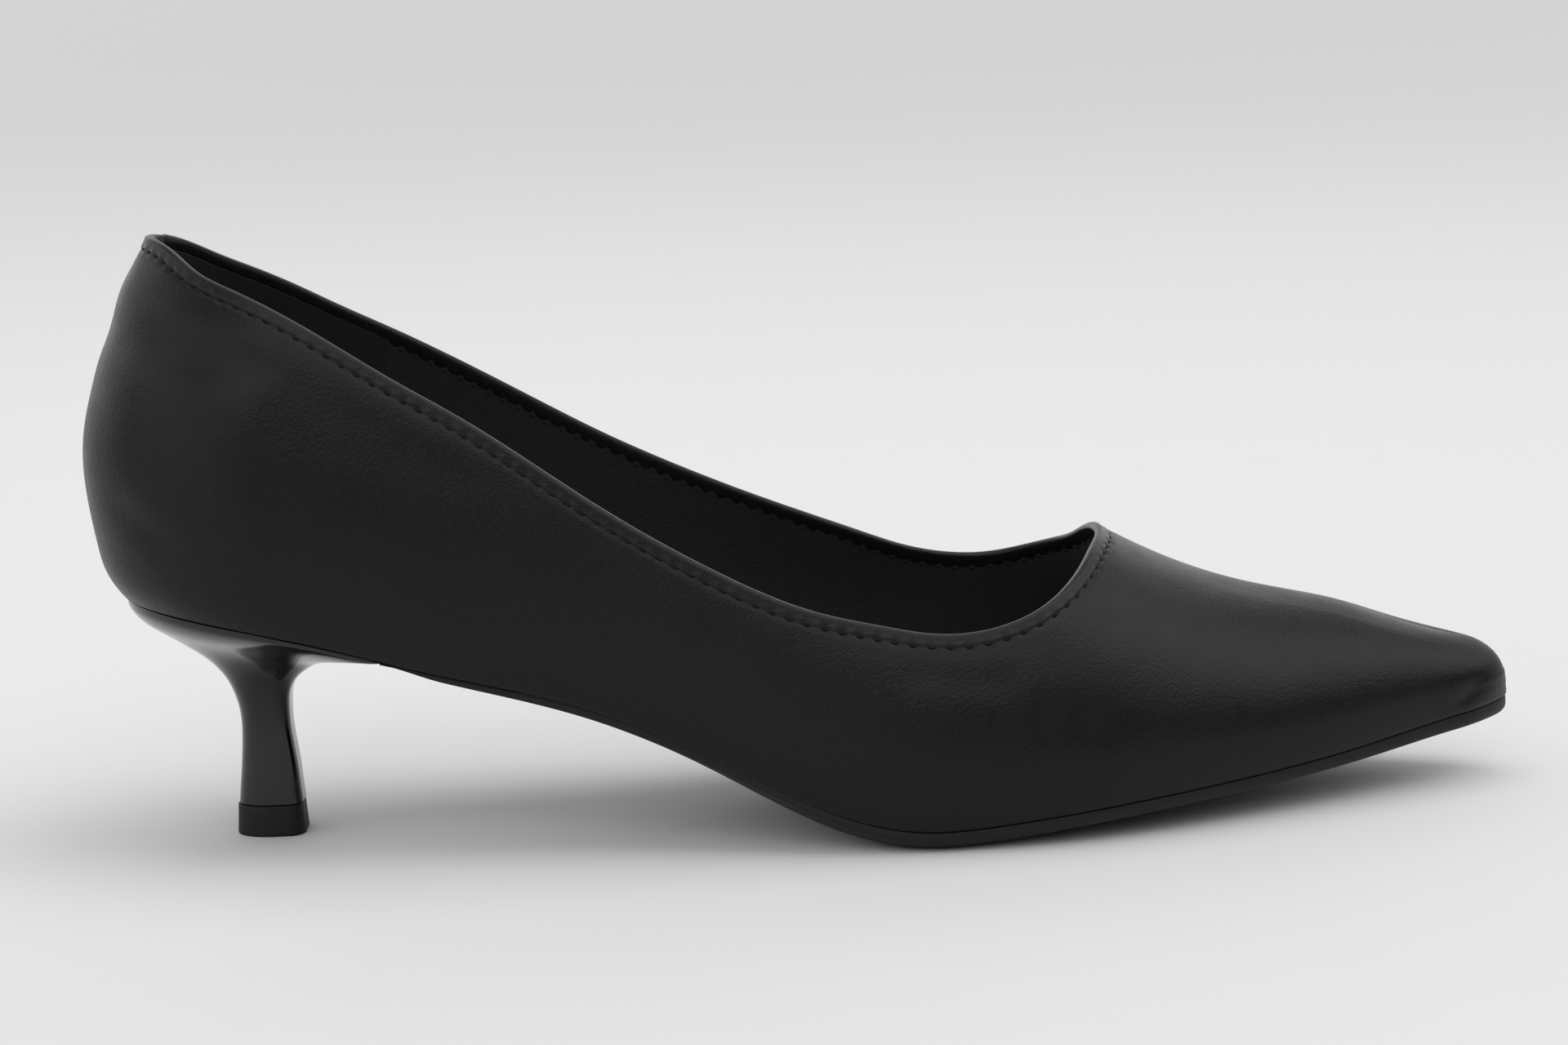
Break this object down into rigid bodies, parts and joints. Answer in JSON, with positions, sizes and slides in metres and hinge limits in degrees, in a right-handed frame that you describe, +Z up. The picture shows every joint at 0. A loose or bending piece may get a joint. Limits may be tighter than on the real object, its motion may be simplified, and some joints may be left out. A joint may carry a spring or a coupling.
{
  "type": "kitten heel pump",
  "caption": "Black closed pump with a pointed toe, a low cut topline with a stitched binding and a slim low heel; right shoe, empty, standing.",
  "frame": {"origin": "centre of the floor face of the top piece under the heel", "axes": "+X from heel to toe, +Z up, -Y towards the outer (lateral) side of the foot, +Y towards the inner side"},
  "size_m": [0.2577, 0.0804, 0.1103],
  "materials": {
    "upper": "black fine-grained leather with a soft satin sheen",
    "topline_binding": "black rolled leather edge, satin",
    "insole": "black smooth sock lining, matte",
    "outsole": "black moulded sole, satin edge",
    "heel": "black gloss lacquer",
    "top_piece": "black matte rubber"
  },
  "bodies": {
    "root": {"upper": "upper", "topline_binding": "topline_binding", "insole": "insole", "outsole": "outsole", "heel": "heel", "top_piece": "top_piece"}
  },
  "joints": []
}
